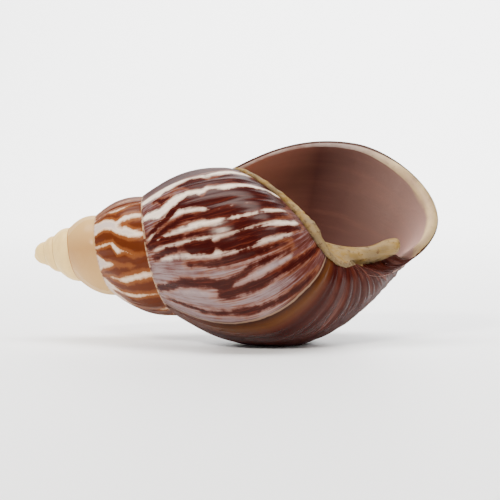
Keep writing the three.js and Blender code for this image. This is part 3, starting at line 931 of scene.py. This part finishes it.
class Shader:
    """A material, with short names for making its nodes."""

    def __init__(self, name):
        self.material = bpy.data.materials.new(name)
        self.material.use_nodes = True
        self.tree = self.material.node_tree
        self.surface = self.tree.nodes["Principled BSDF"]

    def set_inputs(self, node, inputs):
        """Sets or links inputs, which are given by name or index."""
        for key, value in inputs.items():
            if isinstance(value, bpy.types.NodeSocket):
                self.tree.links.new(value, node.inputs[key])
            else:
                node.inputs[key].default_value = value

    def node(self, kind, inputs, **settings):
        node = self.tree.nodes.new("ShaderNode" + kind)
        for name, value in settings.items():
            setattr(node, name, value)
        self.set_inputs(node, inputs)
        return node

    def channel(self, name):
        return self.node("Attribute", {}, attribute_name=name).outputs["Fac"]

    def math(self, operation, value, *others):
        for other in others:
            value = self.node("Math", {0: value, 1: other}, operation=operation).outputs[0]
        return value

    def plus(self, *values):
        return self.math("ADD", *values)

    def times(self, *values):
        return self.math("MULTIPLY", *values)

    def inverse(self, value):
        return self.math("SUBTRACT", 1.0, value)

    def swing(self, noise, amount):
        """Noise moved to swing about zero."""
        return self.times(self.plus(noise, -0.5), amount)

    def step(self, value, low, high):
        """0 below low, 1 above high, smooth between; falls when low is above high."""
        start, end = (0, 1) if low < high else (1, 0)
        ranges = {"From Min": min(low, high), "From Max": max(low, high), "To Min": start, "To Max": end}
        node = self.node("MapRange", {"Value": value, **ranges}, interpolation_type="SMOOTHSTEP")
        return node.outputs["Result"]

    def stretched(self, vector, along, across):
        """The same vector with its own scale along x."""
        scale = (along, across, across)
        return self.node("VectorMath", {0: vector, 1: scale}, operation="MULTIPLY").outputs[0]

    def noise(self, vector, detail, roughness, scale=1.0):
        inputs = {"Vector": vector, "Scale": scale, "Detail": detail, "Roughness": roughness}
        return self.node("TexNoise", inputs).outputs["Fac"]

    def grown_noise(self, per_whorl, per_place, detail, roughness, offset):
        """Noise with so many features in a whorl and in a unit of place."""
        parts = {0: self.times(self.age, per_whorl), 1: self.times(self.place, per_place), 2: offset}
        return self.noise(self.node("CombineXYZ", parts).outputs[0], detail, roughness)

    def ramp(self, value, stops):
        node = self.node("ValToRGB", {0: value})
        elements = node.color_ramp.elements
        elements[0].position, elements[0].color = stops[0]
        elements[1].position, elements[1].color = stops[-1]
        for position, colour in stops[1:-1]:
            elements.new(position).color = colour
        return node.outputs["Color"]

    def age_ramp(self, stops):
        shown = self.plus(self.times(self.age, -1 / OLDEST_SHOWN), 1)
        return self.ramp(shown, [(1 - age / OLDEST_SHOWN, colour) for age, colour in stops])

    def place_ramp(self, stops):
        return self.ramp(self.times(self.place, 1 / 3), stops)

    def mix(self, share, first, second):
        return self.node("Mix", {"Factor": share, 6: first, 7: second}, data_type="RGBA").outputs[2]

    def tint(self, colour, other, *shares):
        """The colour, mixed with another one by the product of the shares."""
        return self.mix(self.times(*shares), colour, other)

    def between(self, value, low, high, soft):
        above, below = self.step(value, low - soft, low + soft), self.step(value, high + soft, high - soft)
        return self.times(above, below)


def ground_colour(sh, pale_field):
    """Cream at the apex, white on the spire, lilac and mauve with light streaks on the last whorl."""
    early = sh.tint(sh.age_ramp(EARLY_STOPS), CLOUD_TAN, sh.step(sh.cloud, 0.42, 0.7), 0.35)
    lower = sh.step(sh.age, *LOWER_HALF)
    lighter = sh.times(lower, sh.plus(-0.2, sh.times(sh.step(sh.place, 1, 1.5), 0.22)))
    mud = sh.plus(sh.times(sh.cloud, 0.55), sh.lines, lighter)
    muddy = sh.ramp(mud, [(0.5, LILAC), (0.76, MAUVE), (0.96, CHESTNUT)])
    core_share = sh.plus(0.3, sh.times(sh.step(sh.age, *LILAC_CORES), 0.5))
    upper_light = sh.tint(WHITE, PALE_LILAC, sh.step(pale_field, 0.1, 1.1), core_share)
    light = sh.mix(lower, upper_light, LILAC_WHITE)
    body = sh.mix(sh.step(pale_field, -0.45, 0.6), muddy, light)
    lined = sh.times(sh.step(sh.age, *SPIRE_LINED), sh.inverse(sh.last))
    return sh.tint(sh.mix(sh.last, early, body), PALE_RUST, sh.step(sh.lines, 0.54, 0.66), lined, 0.25)


def spire_colour(sh, ground, field, inked):
    """Rust streaks with darker middles; wide gaps between them turn lilac."""
    share = sh.ramp(inked, [(0.14, grey(0)), (0.44, grey(1))])
    ink = sh.ramp(inked, [(0.3, PALE_RUST), (0.5, RUST), (0.68, RUST), (0.95, DARK_RUST)])
    wide_gap = sh.step(field, -0.9, -1.5)
    return sh.mix(share, sh.tint(ground, PALE_LILAC, wide_gap, sh.step(sh.age, *LILAC_GAPS), 0.75), ink)


def body_colour(sh, ground, share, inked):
    """Maroon streaks with orange halos, cut by brown lines."""
    ink = sh.ramp(inked, [(0.2, HALO), (0.34, RUST), (0.46, CHESTNUT), (0.62, MAROON)])
    return sh.mix(share, ground, sh.tint(ink, LINE_BROWN, sh.step(sh.lines, 0.5, 0.68), 0.5))


def late_colour(sh, streak_share):
    """Growth after the stop: amber, then chestnut with mauve bands and maroon streaks."""
    clouded = sh.mix(sh.cloud, MAUVE, CHESTNUT)
    colour = sh.tint(sh.age_ramp(LATE_STOPS), clouded, sh.step(sh.place, 0.8, 0.35), 0.7)
    bands = sh.step(sh.grown_noise(*BANDS), 0.46, 0.62)
    colour = sh.tint(colour, LATE_MAUVE, bands, sh.step(sh.age, *LATE_BANDED), 0.75)
    line_colour = sh.mix(sh.step(sh.age, *LATE_LINED), AMBER, CHESTNUT)
    colour = sh.tint(colour, line_colour, sh.step(sh.lines, 0.5, 0.7), 0.3)
    return sh.tint(colour, MAROON, streak_share, sh.step(sh.age, *LATE_STREAKED), 0.8)


def with_suture(sh, colour):
    """Beaded band under the suture, and on the oldest whorls a thin tan one, partly painted shade in the
    crease.
    """
    beads_show = sh.step(sh.age, *BEADS_SHOW)
    band = sh.step(sh.plus(sh.place, sh.swing(sh.wander, 0.06)), 0.045, 0.01)
    dark_bead = sh.mix(sh.last, RUST, CHESTNUT)
    beads = sh.mix(sh.step(sh.grown_noise(*BEADED), 0.42, 0.66), PALE_BEAD, dark_bead)
    colour = sh.tint(colour, beads, band, beads_show, 0.7)
    # The thin tan line under the suture is partly painted shade of the crease
    return sh.tint(colour, SUTURE_TAN_AND_SHADE, sh.step(sh.place, 0.075, 0.02), sh.inverse(beads_show), 0.9)


def outside_colour(sh):
    """Colour of the outer surface, from the apex to the lip; jag frays the edges of the streaks."""
    sh.wander, sh.lines, sh.cloud = (sh.grown_noise(*noise) for noise in (WANDER, LINES, CLOUD))
    sh.last = sh.step(sh.age, *LAST_WHORL)
    jag = sh.plus(
        sh.swing(sh.wander, 1.4),
        sh.swing(sh.grown_noise(*RAGGED), 0.8),
        sh.swing(sh.lines, sh.plus(0.5, sh.times(sh.last, 1.1))),
    )
    ground = ground_colour(sh, sh.plus(sh.channel("pale"), jag))
    field = sh.plus(sh.channel("dark"), jag, sh.times(sh.inverse(sh.last), SPIRE_GAIN))
    inked = sh.times(sh.plus(field, FIELD_SPAN / 2), 1 / FIELD_SPAN)
    body_share = sh.ramp(inked, [(0.12, grey(0)), (0.32, grey(0.4)), (0.5, grey(1))])
    spire = spire_colour(sh, ground, field, inked)
    colour = sh.mix(sh.last, spire, body_colour(sh, ground, body_share, inked))
    colour = sh.tint(colour, ground, sh.step(sh.age, *PLAIN_SPIRE), 0.96)
    colour = sh.mix(sh.step(sh.age, *LATE_GROWTH), colour, late_colour(sh, body_share))
    wandering = sh.plus(sh.age, sh.swing(sh.wander, ARREST_WANDER))
    stop = sh.between(wandering, ARREST_FROM, ARREST_TO, ARREST_SOFT)
    colour = with_suture(sh, sh.tint(colour, ARREST, stop, 0.55))
    return sh.tint(colour, LIP_DARK, sh.step(sh.age, *LIP_LINE), 0.8)


def inside_colour(sh):
    """Colour of the cavity, with painted shade that makes it darker with depth."""
    most = sh.plus(0.15, sh.times(sh.step(sh.place, 0.2, 0.7), 0.75))
    # Painted shade: darker with depth into the cavity, more of it away from the suture
    colour = sh.tint(sh.place_ramp(INSIDE_STOPS), INSIDE_PAINTED_SHADE, sh.step(sh.depth, 0.04, 0.34), most)
    return sh.tint(colour, INSIDE_RUST, sh.step(sh.grown_noise(*INNER_LINES), 0.4, 0.75), 0.07)


def with_lip(sh, colour):
    """Thickness of the lip, cream towards the base, with a dark line outside."""
    low = sh.step(sh.place, 1.1, 1.8)
    reach = sh.plus(sh.times(sh.depth, sh.plus(1.0, sh.times(low, -0.9))), sh.times(sh.clouds, 0.003))
    across = sh.plus(sh.cavity, sh.times(low, 0.22))
    lip = sh.tint(sh.place_ramp(LIP_STOPS), GREY_BONE, sh.step(sh.grains, 0.55, 0.7), 0.3)
    colour = sh.tint(colour, lip, sh.step(across, 0.5, 0.6), sh.step(reach, 0.003, 0.0))
    return sh.tint(colour, LIP_DARK, sh.step(sh.cavity, 0.0, 0.05), sh.step(across, 0.6, 0.5))


def bare_colour(sh):
    """Callus and columella: bone and yellow, grey towards the margin, grainy, with pits."""
    fibres = sh.noise(sh.stretched(sh.spot, FIBRES_ALONG, FIBRES_ACROSS), *FIBRES)
    colour = sh.mix(sh.step(fibres, 0.42, 0.6), BONE, YELLOW)
    colour = sh.tint(colour, GREY_BONE, sh.step(sh.clouds, 0.5, 0.65), 0.6)
    off_tip = sh.step(sh.place, 2.95, 2.6)
    colour = sh.tint(colour, GREY_BONE, sh.step(sh.age, *GREY_MARGIN), off_tip, 0.55)
    return sh.tint(colour, PIT, sh.step(sh.grains, 0.54, 0.65), 0.6)


def shell_material():
    sh = Shader("shell")
    sh.age, sh.place, sh.cavity = sh.channel("age"), sh.channel("place"), sh.channel("cavity")
    sh.depth, bare = sh.channel("depth"), sh.channel("bare")
    sh.spot = sh.node("TexCoord", {}).outputs["Object"]
    sh.grains, sh.clouds = sh.noise(sh.spot, *GRAINS), sh.noise(sh.spot, *CLOUDS)
    inner, bared = sh.step(sh.cavity, 0.3, 0.9), sh.step(bare, 0.4, 0.8)

    colour = with_lip(sh, sh.mix(inner, outside_colour(sh), inside_colour(sh)))
    ragged = sh.plus(bare, sh.swing(sh.grains, 0.5))
    colour = sh.mix(sh.step(ragged, 0.4, 0.7), colour, bare_colour(sh))

    fine, spiral = sh.grown_noise(*FINE), sh.grown_noise(*SPIRAL)
    slant = sh.step(sh.node("LayerWeight", {}).outputs["Facing"], *SLANT)
    rougher = [(fine, FINE_ROUGHER), (inner, INNER_ROUGHER), (bared, BARE_ROUGHER), (slant, SLANT_ROUGHER)]
    roughness = sh.plus(ROUGHNESS, *(sh.times(share, amount) for share, amount in rougher))
    height = sh.plus(fine, sh.times(spiral, SPIRAL_BUMP), sh.times(sh.grains, bared, GRAIN_BUMP))
    bump = sh.node("Bump", {"Strength": BUMP_STRENGTH, "Distance": BUMP_DISTANCE, "Height": height})
    inputs = {"Base Color": colour, "Roughness": roughness, "Normal": bump.outputs["Normal"]}
    gloss = {"Specular IOR Level": SPECULAR, "Specular Tint": SPECULAR_TINT}
    sh.set_inputs(sh.surface, {**inputs, **gloss})
    return sh.material


# Sweep of pale paper under and behind the shell, m
SWEEP_WIDTH, SWEEP_FRONT, SWEEP_BACK, SWEEP_HEIGHT, SWEEP_BEND = 8, -2.5, 2.2, 3.5, 1.2
BEND_STEPS = 24
SWEEP_COLOUR, SWEEP_ROUGHNESS = (0.92, 0.92, 0.92, 1), 0.5


def make_floor():
    profile = [(SWEEP_FRONT, 0), (SWEEP_BACK - SWEEP_BEND, 0)]
    for k in range(1, BEND_STEPS + 1):
        turn = k / BEND_STEPS * math.pi / 2
        profile.append((SWEEP_BACK - SWEEP_BEND * (1 - math.sin(turn)), SWEEP_BEND * (1 - math.cos(turn))))
    profile.append((SWEEP_BACK, SWEEP_HEIGHT))
    points = [(side * SWEEP_WIDTH / 2, y, z) for y, z in profile for side in (-1, 1)]
    faces = [(2 * k, 2 * k + 1, 2 * k + 3, 2 * k + 2) for k in range(len(profile) - 1)]
    paper = Shader("floor")
    paper.set_inputs(paper.surface, {"Base Color": SWEEP_COLOUR, "Roughness": SWEEP_ROUGHNESS})
    make_piece("floor", points, faces, paper.material)


# Camera, in the shell's own frame, mm and degrees
CAMERA_AT = (56.135, -319.339, 42.027)
CAMERA_TURN, CAMERA_TILT = 9.18, 3.215
CAMERA_LENS = 91.3


def make_camera():
    data = bpy.data.cameras.new("camera")
    data.lens = CAMERA_LENS
    camera = put_in_scene("camera", data)
    camera.location = Vector(CAMERA_AT) * MM
    camera.rotation_euler = (math.radians(90 - CAMERA_TILT), 0, math.radians(CAMERA_TURN))
    bpy.context.scene.camera = camera


WARM, NEUTRAL = (1, 0.95, 0.89), (1, 1, 1)
SHELL_CENTRE = (0, 0, 0.025)
# Soft boxes aimed at the shell: side m, power W, azimuth, elevation, distance m
SOFT_BOXES = {
    "key": (0.12, 9, -18, 36, 0.9),
    "fill": (0.6, 2.4, 55, 35, 1.3),
    "top": (0.8, 1, -150, 60, 1.2),
}
# One more for the backdrop, with a narrower spread that keeps most of it off the shell
BACKDROP_BOX, BACKDROP_CENTRE, BACKDROP_SPREAD = (2.0, 170, 0, 40, 2.0), (0, 1.9, 0.6), 135
WORLD_STRENGTH = 0.4


def make_light(name, box, centre=SHELL_CENTRE, colour=WARM, spread=180):
    """A square soft box, aimed at a point; azimuth 0 is in front."""
    side, power, azimuth, elevation, distance = box
    data = bpy.data.lights.new(name, "AREA")
    data.size = side
    data.energy = power
    data.color = colour
    data.spread = math.radians(spread)
    light = put_in_scene(name, data)
    a, e = math.radians(azimuth), math.radians(elevation)
    back = Vector((math.sin(a) * math.cos(e), -math.cos(a) * math.cos(e), math.sin(e)))
    light.location = back * distance + Vector(centre)
    light.rotation_euler = back.to_track_quat("Z", "Y").to_euler()


def make_studio():
    for name, box in SOFT_BOXES.items():
        make_light(name, box)
    make_light("backdrop", BACKDROP_BOX, BACKDROP_CENTRE, NEUTRAL, BACKDROP_SPREAD)
    world = bpy.data.worlds.new("studio")
    bpy.context.scene.world = world
    world.use_nodes = True
    background = world.node_tree.nodes["Background"]
    background.inputs["Color"].default_value = (1, 1, 1, 1)
    background.inputs["Strength"].default_value = WORLD_STRENGTH


shell = make_shell()
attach(shell, "root")
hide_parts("shell")

make_floor()
make_camera()
make_studio()
